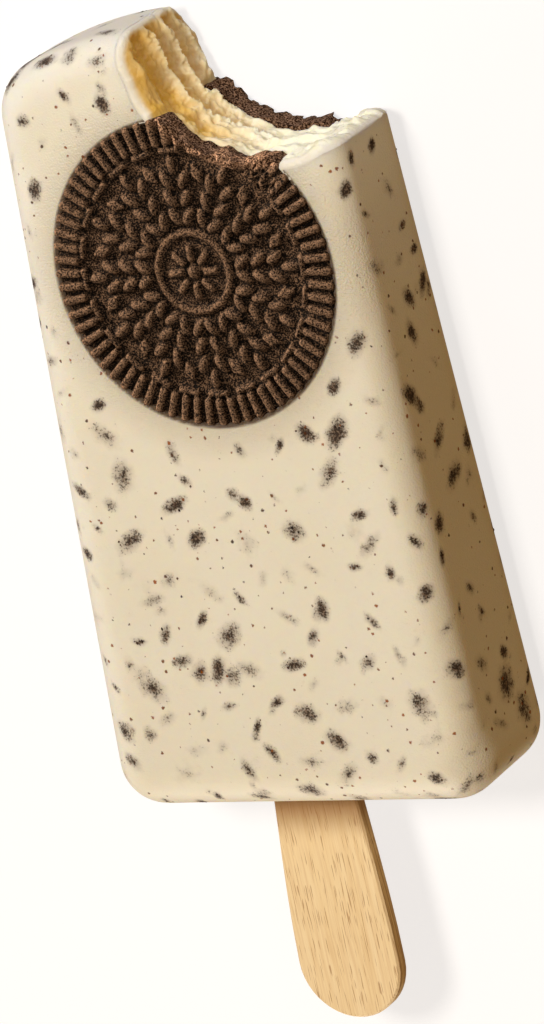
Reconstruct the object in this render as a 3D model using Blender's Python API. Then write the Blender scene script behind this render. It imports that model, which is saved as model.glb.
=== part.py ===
"""An ice cream bar on a wooden stick, bitten at the tip, lying on its back.

The bar's front face looks up (+Z), its tip points to +Y and its stick to -Y. The origin is below the
middle of the whole, on the plane that the back rests on. Five pieces make it: a pale coating, the
ice cream inside it, an embossed biscuit set into each face, and the stick. The bite runs through
the coating, the ice cream and both biscuits, so it shows how they are layered.
"""

import math

import bmesh
import bpy
from mathutils import Vector
from mathutils.geometry import intersect_line_sphere_2d

MM = 0.001
GAP = 0.3 * MM                        # clearance between pieces that touch

# The bar left its mould tip last, so it is widest and thickest at its foot, where the stick enters.
BAR_LENGTH = 95.5 * MM
FOOT_WIDTH = 51.7 * MM
TIP_WIDTH = 45.0 * MM
FOOT_DEPTH = 20.25 * MM
TIP_DEPTH = 16.0 * MM
TIP_RISE = 5.1 * MM                   # how far the tip's middle stands above its corners
FOOT_CORNER = 5.8 * MM
TIP_CORNER = 6.8 * MM
FRONT_RIM = 5.9 * MM                  # rounding of the front face's long edges
TIP_RIM = 4.6 * MM                    # the same at the tip, where it is crisper
RIGHT_RIM = 3.4 * MM                  # and on the side where the bite runs out
BACK_RIM = 4.4 * MM
COAT = 1.4 * MM

# The biscuits
BISCUIT_RADIUS = 18.6 * MM
BISCUIT_DEPTH = 3.7 * MM
BISCUIT_X = 1.4 * MM
BISCUIT_FROM_TIP = 28.45 * MM
BISCUIT_PROUD = 0.5 * MM              # how far the front one stands above the coating
BISCUIT_RECESS = 0.1 * MM             # how far the back one lies behind the coating
RELIEF = 0.8 * MM

# The biscuit's relief: a ridged rim, a ring of beads, a flower and a round eye. The places are
# parts of its radius.
RIDGES = 72
RIM_START = 0.87
BEADS = 36
BEAD_RING = 0.79
PETALS = 12
PETAL_START = 0.30
PETAL_END = 0.72
EYE_RING = 0.24
BOSS_END = 0.14

# The stick
STICK_REACH = 30.1 * MM               # the length that shows
STICK_LENGTH = 93.0 * MM
STICK_THICKNESS = 2.0 * MM
STICK_END_RADIUS = 6.95 * MM          # the flared end that is held
STICK_ROOT_RADIUS = 5.0 * MM          # the narrow end inside the bar
STICK_FLARE_START = 14.0 * MM         # where the flare begins, measured inward from the foot
STICK_X = -2.9 * MM
STICK_LEAN = math.radians(-0.9)      # it stands a little askew in the bar
STICK_EDGE = 0.25 * MM               # chamfer along its edges

# The bite: a steep arc down from the tip on the left and a shallow one up to the right side
BITE_WALL_X = -2.4 * MM
BITE_STEEP_RADIUS = 14.8 * MM
BITE_SHALLOW_RADIUS = 28.9 * MM
BITE_FLOOR_FROM_TIP = 16.05 * MM
BITE_OVERRUN = 10.0 * MM              # how far the cutter runs past the bar
TOOTH_WIDTH = 7.0 * MM
TOOTH_DEPTH = 0.35 * MM
SCRAPE_WIDTH = 2.6 * MM               # pitch of the grooves that the teeth drew along the bite
SCRAPE_DEPTH = 0.6 * MM

# Mesh steps
CORNER_STEPS = 7
TIP_STEPS = 14
RIM_STEPS = 5
BITE_STEPS = 40
BITE_LEVELS = 26

TIP_Y = (BAR_LENGTH + STICK_REACH) / 2
FOOT_Y = TIP_Y - BAR_LENGTH
SIDE_SLOPE = (TIP_WIDTH - FOOT_WIDTH) / 2 / BAR_LENGTH
DEPTH_SLOPE = (TIP_DEPTH - FOOT_DEPTH) / BAR_LENGTH
BISCUIT_Y = TIP_Y - BISCUIT_FROM_TIP


def clear_scene():
    for thing in list(bpy.data.objects):
        bpy.data.objects.remove(thing, do_unlink=True)


def material(name, colour, roughness):
    """A Principled material of one colour (linear RGB)."""
    made = bpy.data.materials.new(name)
    made.use_nodes = True
    shader = made.node_tree.nodes["Principled BSDF"]
    shader.inputs["Base Color"].default_value = (*colour, 1.0)
    shader.inputs["Roughness"].default_value = roughness
    shader.inputs["Metallic"].default_value = 0.0
    return made


def loft(name, rings):
    """A closed object through rings of points, each ring anticlockwise and the last one on top."""
    mesh = bmesh.new()
    loops = [[mesh.verts.new(point) for point in ring] for ring in rings]
    for lower, upper in zip(loops, loops[1:]):
        for i, corner in enumerate(lower):
            j = (i + 1) % len(lower)
            mesh.faces.new((corner, lower[j], upper[j], upper[i]))
    mesh.faces.new(reversed(loops[0]))
    mesh.faces.new(loops[-1])
    bmesh.ops.recalc_face_normals(mesh, faces=mesh.faces)
    data = bpy.data.meshes.new(name)
    mesh.to_mesh(data)
    mesh.free()
    thing = bpy.data.objects.new(name, data)
    bpy.context.scene.collection.objects.link(thing)
    return thing


def finish(thing, surface, sharp_angle):
    """Give a piece its material and shade it smooth, keeping the edges sharper than the angle."""
    thing.data.materials.append(surface)
    thing.data.shade_smooth()
    thing.data.set_sharp_from_angle(angle=math.radians(sharp_angle))
    return thing


def hide_cutter(cutter):
    cutter.hide_render = True
    cutter.display_type = 'WIRE'
    return cutter


def cut(thing, *cutters):
    """Take each cutter out of the piece, with Boolean modifiers that stay on it."""
    for cutter in cutters:
        boolean = thing.modifiers.new(f"cut by {cutter.name}", 'BOOLEAN')
        boolean.operation = 'DIFFERENCE'
        boolean.solver = 'EXACT'
        boolean.object = cutter


def bar_depth(y):
    """Thickness of the bar at a place along its length."""
    return FOOT_DEPTH + DEPTH_SLOPE * (y - FOOT_Y)


def arc(centre, radius, start, end, steps):
    """Points along an arc, each with the direction that points away from its centre."""
    out = []
    for step in range(steps + 1):
        angle = start + (end - start) * step / steps
        away = Vector((math.cos(angle), math.sin(angle)))
        out.append((centre + radius * away, away))
    return out


def bar_outline():
    """The bar seen from the front, anticlockwise, as points with their outward directions."""
    stretch = math.hypot(1.0, SIDE_SLOPE)
    side_angle = math.atan2(-SIDE_SLOPE, 1.0)
    foot = Vector((0.0, FOOT_Y + FOOT_CORNER))
    foot.x = FOOT_WIDTH / 2 + SIDE_SLOPE * FOOT_CORNER - FOOT_CORNER * stretch

    tip_radius = (TIP_WIDTH ** 2 / 4 + TIP_RISE ** 2) / (2 * TIP_RISE)
    tip_centre = Vector((0.0, TIP_Y - tip_radius))
    line_start = Vector((FOOT_WIDTH / 2 - TIP_CORNER * stretch, FOOT_Y))
    line_end = line_start + Vector((SIDE_SLOPE, 1.0)) * BAR_LENGTH
    meets = intersect_line_sphere_2d(
        line_start, line_end, tip_centre, tip_radius - TIP_CORNER, False)
    shoulder = max((point for point in meets if point), key=lambda point: point.y)
    tip_angle = math.atan2(shoulder.y - tip_centre.y, shoulder.x)

    right = arc(foot, FOOT_CORNER, -math.pi / 2, side_angle, CORNER_STEPS)
    right += arc(shoulder, TIP_CORNER, side_angle, tip_angle, CORNER_STEPS)
    crown = arc(tip_centre, tip_radius, tip_angle, math.pi - tip_angle, TIP_STEPS)
    left = [(Vector((-p.x, p.y)), Vector((-away.x, away.y))) for p, away in reversed(right)]
    return right + crown[1:-1] + left


def rim_point(point, away, skin, angle, front):
    """A point on the rounding between a side (angle 0) and a face, `skin` below the bar's surface."""
    if front:
        tipward = max(0.0, away.y) ** 4
        rightward = max(0.0, away.x) ** 1.5
        rim = FRONT_RIM + (TIP_RIM - FRONT_RIM) * tipward + (RIGHT_RIM - FRONT_RIM) * rightward - skin
    else:
        rim = BACK_RIM - skin
    place = point - away * (skin + rim * (1 - math.cos(angle)))
    rise = skin + rim * (1 - math.sin(angle))
    return (place.x, place.y, bar_depth(place.y) - rise if front else rise)


def bar_solid(name, skin):
    """The rounded bar, or the same shape a skin's thickness smaller all round."""
    outline = bar_outline()
    quarter = [math.pi / 2 * step / RIM_STEPS for step in range(RIM_STEPS + 1)]
    rings = [[rim_point(p, away, skin, angle, False) for p, away in outline]
             for angle in reversed(quarter)]
    rings += [[rim_point(p, away, skin, angle, True) for p, away in outline] for angle in quarter]
    return loft(name, rings)


def bite_path():
    """The bite's edge seen from the front: points, directions into the bar, and distance run."""
    floor = TIP_Y - BITE_FLOOR_FROM_TIP
    bottom_x = BITE_WALL_X + BITE_STEEP_RADIUS
    steep = Vector((bottom_x, floor + BITE_STEEP_RADIUS))
    shallow = Vector((bottom_x, floor + BITE_SHALLOW_RADIUS))
    run_out = math.asin((FOOT_WIDTH / 2 + BITE_OVERRUN / 2 - bottom_x) / BITE_SHALLOW_RADIUS)
    lengths = (BITE_OVERRUN, BITE_STEEP_RADIUS * math.pi / 2, BITE_SHALLOW_RADIUS * run_out)
    total = sum(lengths)
    path = []
    for step in range(BITE_STEPS + 1):
        run = total * step / BITE_STEPS
        if run < lengths[0]:
            inward = Vector((-1.0, 0.0))
            point = Vector((BITE_WALL_X, steep.y + lengths[0] - run))
        elif run < lengths[0] + lengths[1]:
            angle = math.pi + (run - lengths[0]) / BITE_STEEP_RADIUS
            inward = Vector((math.cos(angle), math.sin(angle)))
            point = steep + BITE_STEEP_RADIUS * inward
        else:
            angle = 1.5 * math.pi + (run - lengths[0] - lengths[1]) / BITE_SHALLOW_RADIUS
            inward = Vector((math.cos(angle), math.sin(angle)))
            point = shallow + BITE_SHALLOW_RADIUS * inward
        path.append((point, inward, run))
    return path, total


def bite_roughness(run, total, z):
    """How much deeper the bite goes at a place: tooth marks, scrape grooves and soft lumps."""
    tooth = TOOTH_DEPTH * abs(math.sin(math.pi * run / TOOTH_WIDTH))
    fade = 1.0 - 0.65 * run / total
    drift = 0.5 * math.sin(run / (5.0 * MM)) + 0.3 * math.sin(run / (2.3 * MM))
    scrape = SCRAPE_DEPTH * fade * abs(math.sin(math.pi * z / SCRAPE_WIDTH + drift))
    lump = 0.15 * MM * math.sin(run / (1.3 * MM)) * math.sin(z / (1.1 * MM) + run / (3.0 * MM))
    return tooth + scrape + lump - TOOTH_DEPTH / 2 - SCRAPE_DEPTH / 2


def bite_cutter():
    """What was bitten off: the space above the toothed edge, through the bar's whole thickness."""
    path, total = bite_path()
    below, above = -2.0 * MM, FOOT_DEPTH + 2.0 * MM
    rings = []
    for level in range(BITE_LEVELS + 1):
        z = below + (above - below) * level / BITE_LEVELS
        ring = []
        for point, inward, run in path:
            place = point + inward * bite_roughness(run, total, z)
            ring.append((place.x, place.y, z))
        ring.append((path[-1][0].x, TIP_Y + BITE_OVERRUN, z))
        rings.append(ring)
    return hide_cutter(loft("bite_cutter", rings))


def emboss(part, angle):
    """Height of the biscuit's relief at a part of its radius, from the rim to the middle."""
    if part >= RIM_START:
        ridge = 0.5 + 0.5 * math.cos(RIDGES * angle)
        rounding = 0.55 if part > 0.98 else 1.0
        return RELIEF * (0.15 + 0.85 * ridge) * rounding
    if part == BEAD_RING:
        return RELIEF * 0.8 * max(0.0, math.cos(BEADS * angle))
    if PETAL_START < part < PETAL_END:
        bloom = math.sin(math.pi * (part - PETAL_START) / (PETAL_END - PETAL_START)) ** 0.6
        across = abs(math.sin(PETALS * angle / 2))
        return RELIEF * bloom * max(0.0, 1.0 - 1.5 * across)
    if part == EYE_RING:
        return RELIEF * 0.6
    if part <= BOSS_END:
        return RELIEF * 0.8
    return 0.0


def biscuit(name):
    """A round biscuit with its relief on the upper face, its base centred on the origin."""
    columns = 2 * RIDGES
    field = BISCUIT_DEPTH - RELIEF
    steps = [0.99, 0.965, RIM_START, RIM_START - 0.015]
    steps += [BEAD_RING + 0.03, BEAD_RING, BEAD_RING - 0.03]
    steps += [PETAL_END, 0.62, 0.50, 0.38, PETAL_START]
    steps += [EYE_RING, EYE_RING - 0.05, BOSS_END]

    def ring(part, height):
        radius = part * BISCUIT_RADIUS
        turns = [2 * math.pi * column / columns for column in range(columns)]
        return [(radius * math.cos(a), radius * math.sin(a), height(part, a)) for a in turns]

    rings = [ring(1.0, lambda part, angle: 0.0), ring(1.0, lambda part, angle: field)]
    rings += [ring(part, lambda part, angle: field + emboss(part, angle)) for part in steps]
    return loft(name, rings)


def place_biscuit(thing, front):
    """Set a biscuit into the front face, or turned over into the back one."""
    if front:
        top = bar_depth(BISCUIT_Y) + BISCUIT_PROUD
        thing.location = (BISCUIT_X, BISCUIT_Y, top - BISCUIT_DEPTH)
        thing.rotation_euler = (math.atan(DEPTH_SLOPE), 0.0, 0.0)
    else:
        thing.location = (BISCUIT_X, BISCUIT_Y, BISCUIT_RECESS + BISCUIT_DEPTH)
        thing.rotation_euler = (math.pi, 0.0, 0.0)
    return thing


def biscuit_pocket(name, front):
    """The round hole that a biscuit sits in, with its clearance."""
    turns = [2 * math.pi * step / 72 for step in range(72)]
    radius = BISCUIT_RADIUS + GAP
    rings = [[(radius * math.cos(a), radius * math.sin(a), z) for a in turns]
             for z in (-GAP, BISCUIT_DEPTH + 3.0 * MM)]
    return hide_cutter(place_biscuit(loft(name, rings), front))


def stick_outline(grow):
    """The stick seen from the front, its foot line at y = 0 where it enters the bar."""
    root = Vector((0.0, STICK_LENGTH - STICK_REACH - STICK_ROOT_RADIUS))
    end = Vector((0.0, STICK_END_RADIUS - STICK_REACH))
    outline = [point for point, away in arc(end, STICK_END_RADIUS + grow, math.pi, 2 * math.pi, 22)]
    side = []
    for step in range(1, 9):
        y = end.y + (STICK_FLARE_START - end.y) * step / 8
        blend = 1.0 - step / 8
        flare = blend * blend * (3 - 2 * blend)
        half = STICK_ROOT_RADIUS + (STICK_END_RADIUS - STICK_ROOT_RADIUS) * flare
        side.append(Vector((half + grow, y)))
    outline += side
    outline += [point for point, away in arc(root, STICK_ROOT_RADIUS + grow, 0.0, math.pi, 10)]
    outline += [Vector((-point.x, point.y)) for point in reversed(side)]
    return outline


def stick_solid(name, grow, edge):
    """The flat stick, grown all round for its slot, with its edges eased by a small chamfer."""
    half = STICK_THICKNESS / 2 + grow
    levels = [(-half, edge), (edge - half, 0.0), (half - edge, 0.0), (half, edge)]
    if not edge:
        levels = [(-half, 0.0), (half, 0.0)]
    rings = [[(p.x, p.y, z) for p in stick_outline(grow - inset)] for z, inset in levels]
    thing = loft(name, rings)
    thing.location = (STICK_X, FOOT_Y, FOOT_DEPTH / 2)
    thing.rotation_euler = (math.atan(DEPTH_SLOPE / 2), 0.0, STICK_LEAN)
    return thing


clear_scene()

coating_look = material("pale_coating", (0.80, 0.70, 0.48), 0.45)
ice_cream_look = material("ice_cream", (0.88, 0.76, 0.42), 0.55)
biscuit_look = material("dark_biscuit", (0.035, 0.022, 0.016), 0.85)
wood_look = material("pale_wood", (0.76, 0.55, 0.31), 0.65)

bite = bite_cutter()
front_pocket = biscuit_pocket("front_pocket", True)
back_pocket = biscuit_pocket("back_pocket", False)
slot = hide_cutter(stick_solid("stick_slot", GAP, 0.0))
hollow = hide_cutter(bar_solid("coating_hollow", COAT))

coating = bar_solid("coating", 0.0)
cut(coating, hollow, slot, front_pocket, back_pocket, bite)
finish(coating, coating_look, 35)

ice_cream = bar_solid("ice_cream", COAT + GAP)
cut(ice_cream, slot, front_pocket, back_pocket, bite)
finish(ice_cream, ice_cream_look, 35)

for side in ("front", "back"):
    wafer = place_biscuit(biscuit(f"biscuit_{side}"), side == "front")
    cut(wafer, bite)
    finish(wafer, biscuit_look, 30)

stick = stick_solid("stick", 0.0, STICK_EDGE)
finish(stick, wood_look, 30)
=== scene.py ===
# %% [markdown]
# # A bitten ice cream bar with a biscuit in each face
#
# The bar lies on its back on a pale table. Its solids are already made to size, and this script dresses
# them: the waxy coating with crumbs in it, the torn ice cream in the bite, the pressed biscuits and the
# wooden stick. Everything is in metres, with the front face up and the tip toward +Y.

# %% The frame
import math
import random

import bmesh
import bpy
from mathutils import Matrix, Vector, bvhtree, kdtree, noise
from mathutils.geometry import intersect_line_sphere_2d


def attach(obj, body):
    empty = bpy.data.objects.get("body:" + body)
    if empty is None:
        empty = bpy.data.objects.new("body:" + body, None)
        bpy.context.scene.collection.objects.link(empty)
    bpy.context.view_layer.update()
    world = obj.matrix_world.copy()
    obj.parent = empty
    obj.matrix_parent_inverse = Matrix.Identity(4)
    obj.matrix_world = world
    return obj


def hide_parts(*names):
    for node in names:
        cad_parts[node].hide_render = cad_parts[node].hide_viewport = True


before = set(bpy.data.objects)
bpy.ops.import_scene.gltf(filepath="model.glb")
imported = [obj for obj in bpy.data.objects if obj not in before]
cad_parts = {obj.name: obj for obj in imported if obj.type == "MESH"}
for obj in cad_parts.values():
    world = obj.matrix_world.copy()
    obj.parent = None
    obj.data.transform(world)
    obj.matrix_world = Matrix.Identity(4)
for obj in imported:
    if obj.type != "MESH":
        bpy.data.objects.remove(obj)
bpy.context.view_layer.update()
MM = 0.001
print("solids:", sorted(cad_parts))

# %% [markdown]
# ## Sizes
#
# The new pieces repeat the sizes that the solids were drawn with. The bar is widest and thickest at its
# foot, where the stick goes in, because it had to slide out of its mould.

# %% Sizes of the bar, the biscuits and the bite
BAR_LENGTH = 95.5 * MM
TIP_Y = 62.8 * MM
FOOT_Y = TIP_Y - BAR_LENGTH
FOOT_WIDTH = 51.7 * MM
TIP_WIDTH = 45.0 * MM
FOOT_DEPTH = 20.25 * MM
TIP_DEPTH = 16.0 * MM
TIP_RISE = 5.1 * MM
FOOT_CORNER = 5.8 * MM
TIP_CORNER = 6.8 * MM
FRONT_RIM = 5.9 * MM
TIP_RIM = 4.6 * MM
SHOULDER_RIM = 5.7 * MM
RIGHT_RIM = 3.4 * MM
BACK_RIM = 4.4 * MM
COAT = 1.4 * MM

SIDE_SLOPE = (TIP_WIDTH - FOOT_WIDTH) / 2 / BAR_LENGTH
DEPTH_SLOPE = (TIP_DEPTH - FOOT_DEPTH) / BAR_LENGTH

BISCUIT_RADIUS = 18.6 * MM
BISCUIT_DEPTH = 3.7 * MM
BISCUIT_X = 1.4 * MM
BISCUIT_Y = TIP_Y - 28.45 * MM
BISCUIT_PROUD = 0.5 * MM
BISCUIT_RECESS = 0.1 * MM

BITE_WALL_X = -2.4 * MM
BITE_STEEP_RADIUS = 14.8 * MM
BITE_SHALLOW_RADIUS = 28.9 * MM
BITE_FLOOR_Y = TIP_Y - 16.05 * MM
BITE_OVERRUN = 10.0 * MM


def bar_depth(y):
    """Thickness of the bar at a place along it."""
    return FOOT_DEPTH + DEPTH_SLOPE * (y - FOOT_Y)


print(f"the front face falls {math.degrees(math.atan(-DEPTH_SLOPE)):.2f} degrees toward the tip")

# %% [markdown]
# ## The camera
#
# The photograph was taken from far away with a long lens, so the bar's edges hardly converge. The camera
# looks down on the front face from the side of the bite, and it is rolled, because in the picture the bar
# leans to the left. Its place and lens come from fitting the bar's outline to the picture.

# %% The camera
CAMERA_RIGHT = Vector((0.855016, -0.216862, -0.471082))
CAMERA_UP = Vector((0.035088, 0.930479, -0.364662))
CAMERA_BACK = CAMERA_RIGHT.cross(CAMERA_UP)
CAMERA_DISTANCE = 800.0 * MM
CAMERA_ASIDE = 5.462 * MM
CAMERA_BELOW = 1.373 * MM
CAMERA_SHORTER = 0.45 * MM
FRAME_HEIGHT = 1024
FOCAL_PIXELS = 6718.4
SENSOR = 36.0

bpy.ops.object.camera_add()
camera = bpy.context.object
camera.name = "camera"
camera.location = CAMERA_BACK * CAMERA_DISTANCE - CAMERA_RIGHT * CAMERA_ASIDE - CAMERA_UP * CAMERA_BELOW
camera.location.y -= CAMERA_SHORTER
axes = (CAMERA_RIGHT, CAMERA_UP, CAMERA_BACK)
turn = camera.matrix_world.to_3x3()
for column, axis in enumerate(axes):
    turn.col[column] = axis.normalized()
camera.rotation_euler = turn.to_euler()
camera.data.sensor_fit = "VERTICAL"
camera.data.sensor_height = SENSOR
camera.data.lens = FOCAL_PIXELS * SENSOR / FRAME_HEIGHT
camera.data.clip_end = 10.0
bpy.context.scene.camera = camera
print(f"lens {camera.data.lens:.0f} mm at {camera.location.length * 1000:.0f} mm")

# %% [markdown]
# ## The table and the light
#
# The light of the picture is soft and mostly from above, and the side toward the viewer's right is in deep
# warm shade. The key light is over the tip. Smaller, cooler softboxes brighten the left rim and the tip's
# face, and one at the foot lights the rim by the stick. The biscuits have a low light to themselves, which
# draws their relief without bleaching the coating. A narrow lamp looks into the bite, and a dim warm
# surround fills the shade. The table doesn't throw light back on the bar, as it wouldn't on a bar that was
# hung up for its picture.


# %% Colours and nodes
def linear(hex_colour, alpha=1.0):
    """An sRGB hex colour as the linear values that a shader takes."""
    channels = [int(hex_colour[i:i + 2], 16) / 255 for i in (1, 3, 5)]
    return [c / 12.92 if c <= 0.04045 else ((c + 0.055) / 1.055) ** 2.4 for c in channels] + [alpha]


def add_node(tree, kind, inputs=None, **options):
    """Add a shader node with its options. An input takes a value, or a link from another node's output."""
    node = tree.nodes.new(kind)
    for name, value in options.items():
        setattr(node, name, value)
    for key, value in (inputs or {}).items():
        if isinstance(value, bpy.types.NodeSocket):
            tree.links.new(value, node.inputs[key])
        else:
            node.inputs[key].default_value = value
    return node


def new_material(name, **sockets):
    """A material with its node tree and its shader, whose plain sockets get these values."""
    material = bpy.data.materials.new(name)
    material.use_nodes = True
    shader = material.node_tree.nodes["Principled BSDF"]
    for socket, value in sockets.items():
        shader.inputs[socket.replace("_", " ")].default_value = value
    return material, material.node_tree, shader


# %% The table
bpy.ops.mesh.primitive_plane_add(size=3.0)
table = bpy.context.object
table.name = "table"
table.visible_diffuse = False
table.visible_glossy = False
table_paint, tree, shader = new_material(
    "matt_white_light_table", Base_Color=linear("#A09F9E"), Roughness=0.9, Emission_Strength=0.7,
    Emission_Color=linear("#FFFFFF"))
shader.inputs["Specular IOR Level"].default_value = 0.1
table.data.materials.append(table_paint)


# %% The lights
BITE_MIDDLE = Vector((5.0, 54.0, 10.0)) * MM
BITE_LAMP_FROM = Vector((0.72, 0.58, 0.36))
BITE_LAMP_DISTANCE = 0.4
SURROUND = (1.0, 0.62, 0.28, 1.0)       # warm amber, already linear
SURROUND_STRENGTH = 0.27


def softbox(name, toward, distance, size, power, colour):
    """A round soft light that faces the bar."""
    toward = Vector(toward).normalized()
    bpy.ops.object.light_add(type="AREA", location=toward * distance)
    light = bpy.context.object
    light.name = name
    light.data.shape = "DISK"
    light.data.size = size
    light.data.energy = power
    light.data.color = linear(colour)[:3]
    light.rotation_euler = toward.to_track_quat("Z", "Y").to_euler()
    return light


softbox("key_light", (0.0, 0.4, 0.9), 0.8, 0.2, 4.1, "#FFFBF4")
softbox("left_light", (-1.0, 0.1, 0.15), 0.7, 0.2, 1.3, "#D8E6FF")
softbox("tip_light", (-0.25, 1.0, 0.05), 0.7, 0.16, 2.5, "#C8DCFF")
biscuit_light = softbox("biscuit_light", (-0.75, 0.6, 0.34), 0.7, 0.1, 14.0, "#FFEEDC")
softbox("foot_light", (-0.35, -1.0, 0.2), 0.7, 0.2, 2.6, "#FFFAF2")

# A narrow lamp looks into the bite from behind the tip's right corner.
bpy.ops.object.light_add(
    type="SPOT", location=BITE_MIDDLE + BITE_LAMP_FROM.normalized() * BITE_LAMP_DISTANCE)
bite_lamp = bpy.context.object
bite_lamp.name = "bite_lamp"
bite_lamp.data.energy = 2.0
bite_lamp.data.spot_size = math.radians(7.5)
bite_lamp.data.spot_blend = 1.0
bite_lamp.data.shadow_soft_size = 0.02
bite_lamp.rotation_euler = BITE_LAMP_FROM.to_track_quat("Z", "Y").to_euler()

surround = bpy.data.worlds.new("surround")
bpy.context.scene.world = surround
surround.use_nodes = True
background = surround.node_tree.nodes["Background"]
background.inputs["Color"].default_value = SURROUND
background.inputs["Strength"].default_value = SURROUND_STRENGTH
bpy.context.scene.view_settings.view_transform = "Standard"


# %% [markdown]
# ## Working by hand, in code
#
# The pieces are modelled with the same operators as at the keyboard. They act on what is selected, so
# these helpers clear the selection first, then pick faces or points by their place.


# %% Selecting, editing and applying
def select_only(*pieces):
    """Leave just these pieces selected, the first of them active."""
    if bpy.context.object and bpy.context.object.mode != "OBJECT":
        bpy.ops.object.mode_set(mode="OBJECT")
    bpy.ops.object.select_all(action="DESELECT")
    for piece in pieces:
        piece.select_set(True)
    bpy.context.view_layer.objects.active = pieces[0]


def edit(piece, kind="VERT"):
    """Go into edit mode on one piece with nothing selected."""
    select_only(piece)
    bpy.ops.object.mode_set(mode="EDIT")
    bpy.ops.mesh.select_mode(type=kind)
    bpy.ops.mesh.select_all(action="DESELECT")


def pick(piece, wanted, kind="verts"):
    """In edit mode, add the points, edges or faces to the selection whose middle passes the test."""
    mesh = bmesh.from_edit_mesh(piece.data)
    chosen = 0
    for element in getattr(mesh, kind):
        corners = [element] if kind == "verts" else element.verts
        middle = sum((corner.co for corner in corners), Vector()) / len(corners)
        if wanted(middle):
            element.select_set(True)
            chosen += 1
    mesh.select_flush(True)
    bmesh.update_edit_mesh(piece.data)
    return chosen


def done(piece):
    bpy.ops.object.mode_set(mode="OBJECT")
    return piece


def added(name):
    """Name the primitive that was just added, and put its place and size into its mesh."""
    piece = bpy.context.object
    piece.name = name
    piece.data.name = name
    bpy.ops.object.transform_apply(location=True, rotation=True, scale=True)
    return piece


def joined(name, pieces):
    select_only(*pieces)
    if len(pieces) > 1:
        bpy.ops.object.join()
    return added(name)


def apply(piece, kind, **settings):
    """Add a modifier with its settings and apply it."""
    select_only(piece)
    modifier = piece.modifiers.new(kind.lower(), kind)
    for name, value in settings.items():
        setattr(modifier, name, value)
    bpy.ops.object.modifier_apply(modifier=modifier.name)
    return piece


def cut(piece, cutter, keep=False):
    """Take the cutter out of the piece, and throw the cutter away unless it is wanted again."""
    apply(piece, "BOOLEAN", operation="DIFFERENCE", solver="MANIFOLD", object=cutter)
    if not keep:
        bpy.data.objects.remove(cutter, do_unlink=True)
    return piece


def triangles(piece):
    piece.data.calc_loop_triangles()
    return len(piece.data.loop_triangles)


# %% [markdown]
# ## The bar's block
#
# A moulded bar is a block with every edge rounded. It could be a cube with bevels, but the radii differ:
# small at the back and on the side where the bite runs out, larger on the left. So each corner gets a ring
# (torus) of its own radii, the curved tip gets a stretch of a large ring, and a convex hull is pulled tight
# over them all.


# %% The block, whole and before any biscuit or bite
def shoulder_place():
    """Middle of the tip's corner rounding, and the middle height and radius of the tip's arc."""
    tip_radius = (TIP_WIDTH ** 2 / 4 + TIP_RISE ** 2) / (2 * TIP_RISE)
    tip_middle = Vector((0.0, TIP_Y - tip_radius))
    stretch = math.hypot(1.0, SIDE_SLOPE)
    start = Vector((FOOT_WIDTH / 2 - TIP_CORNER * stretch, FOOT_Y))
    end = start + Vector((SIDE_SLOPE, 1.0)) * BAR_LENGTH
    meets = intersect_line_sphere_2d(start, end, tip_middle, tip_radius - TIP_CORNER, False)
    return max((p for p in meets if p), key=lambda p: p.y), tip_middle, tip_radius


def ring(middle, corner, rim, skin, front):
    """A torus whose tube rounds one rim of the bar, skin deep under its surface."""
    rim = min(rim, corner - 0.1 * MM)
    z = bar_depth(middle.y) - rim if front else rim
    bpy.ops.mesh.primitive_torus_add(
        location=(middle.x, middle.y, z), major_radius=corner - rim,
        minor_radius=rim - skin, major_segments=48, minor_segments=40)
    return bpy.context.object


def tip_ring(middle, radius, rim, skin, front, half_width):
    """The stretch of a large torus that rounds the tip's edge between its two shoulders."""
    z = bar_depth(middle.y + radius - rim) - rim if front else rim
    bpy.ops.mesh.primitive_torus_add(
        location=(0.0, 0.0, 0.0), major_radius=radius - rim, minor_radius=rim - skin,
        major_segments=400, minor_segments=40)
    arch = added("arch")
    edit(arch)
    pick(arch, lambda p: p.y < 0 or abs(p.x) > half_width)
    bpy.ops.mesh.delete(type="VERT")
    done(arch)
    arch.location = (middle.x, middle.y, z)
    return arch


def bar_block(name, skin):
    """The bar as a closed mesh, the skin's depth inside its real surface."""
    shoulder, tip_middle, tip_radius = shoulder_place()
    stretch = math.hypot(1.0, SIDE_SLOPE)
    foot_x = FOOT_WIDTH / 2 + SIDE_SLOPE * FOOT_CORNER - FOOT_CORNER * stretch
    rings = []
    for hand, shoulder_rim in ((-1, SHOULDER_RIM), (1, RIGHT_RIM)):
        foot = Vector((hand * foot_x, FOOT_Y + FOOT_CORNER))
        corner = Vector((hand * shoulder.x, shoulder.y))
        rings.append(ring(foot, FOOT_CORNER, BACK_RIM, skin, False))
        rings.append(ring(foot, FOOT_CORNER, FRONT_RIM, skin, True))
        rings.append(ring(corner, TIP_CORNER, BACK_RIM, skin, False))
        rings.append(ring(corner, TIP_CORNER, shoulder_rim, skin, True))
    up = 5 * MM
    low_right = Vector((foot_x + SIDE_SLOPE * up, FOOT_Y + FOOT_CORNER + up))
    rings.append(ring(low_right, FOOT_CORNER, RIGHT_RIM, skin, True))
    for rim, front in ((BACK_RIM, False), (TIP_RIM, True)):
        rings.append(tip_ring(tip_middle, tip_radius, rim, skin, front, shoulder.x))
    block = joined(name, rings)
    edit(block)
    bpy.ops.mesh.select_all(action="SELECT")
    bpy.ops.mesh.convex_hull()
    return done(block)


coating = bar_block("coating_skin", 0.0)
core = bar_block("core", COAT)
print("block", [round(v * 1000, 1) for v in coating.dimensions], "mm,", triangles(coating), "triangles")

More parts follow.
